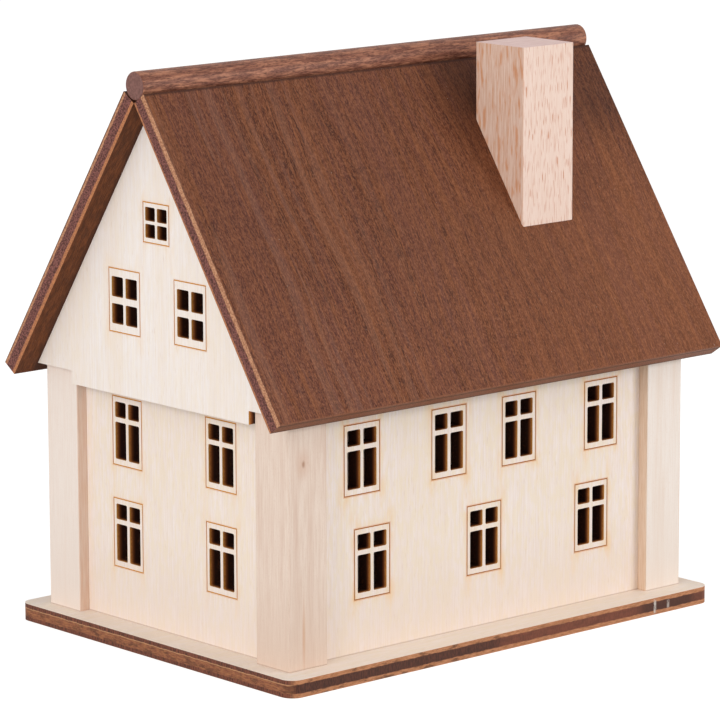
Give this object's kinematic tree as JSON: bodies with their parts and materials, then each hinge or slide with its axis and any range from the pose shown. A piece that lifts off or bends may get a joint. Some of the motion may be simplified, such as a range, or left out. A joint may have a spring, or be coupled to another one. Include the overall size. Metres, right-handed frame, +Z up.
{
  "type": "tealight house",
  "caption": "Gabled wooden house lantern with cut-out windows, a lift-off dark roof with ridge rod and chimney, and a tealight on its base board.",
  "frame": {"origin": "middle of the underside of the base board", "axes": "+Z up, the ridge along X, the pictured window wall facing -Y, the chimney on the -Y slope towards +X"},
  "size_m": [0.1278, 0.0914, 0.1248],
  "materials": {
    "plywood": "sanded, unfinished",
    "post_wood": "planed, unfinished",
    "chimney_beech": "sanded, unfinished",
    "stained_wood": "dark brown stain",
    "aluminium": "bright drawn",
    "tinplate": "stamped",
    "wax": "white paraffin wax",
    "cotton": "braided cotton"
  },
  "bodies": {
    "house": {"base_plate": "plywood", "floor_plate": "plywood", "post_front_left": "post_wood", "post_front_right": "post_wood", "post_rear_left": "post_wood", "post_rear_right": "post_wood", "front_wall": "plywood", "rear_wall": "plywood", "left_wall": "plywood", "right_wall": "plywood"},
    "roof_lid": {"left_gable_panel": "plywood", "right_gable_panel": "plywood", "front_roof_panel": "stained_wood", "rear_roof_panel": "stained_wood", "ridge_rod": "stained_wood", "chimney": "chimney_beech"},
    "tealight": {"tealight_cup": "aluminium", "tealight_wax": "wax", "wick": "cotton", "wick_sustainer": "tinplate"}
  },
  "joints": [
    {"name": "roof_lift", "type": "slide", "parent": "house", "child": "roof_lid", "axis": [0, 0, 1], "range_m": [0, 0.12]},
    {"name": "tealight_lift", "type": "slide", "parent": "house", "child": "tealight", "axis": [0, 0, 1], "range_m": [0, 0.055]}
  ]
}
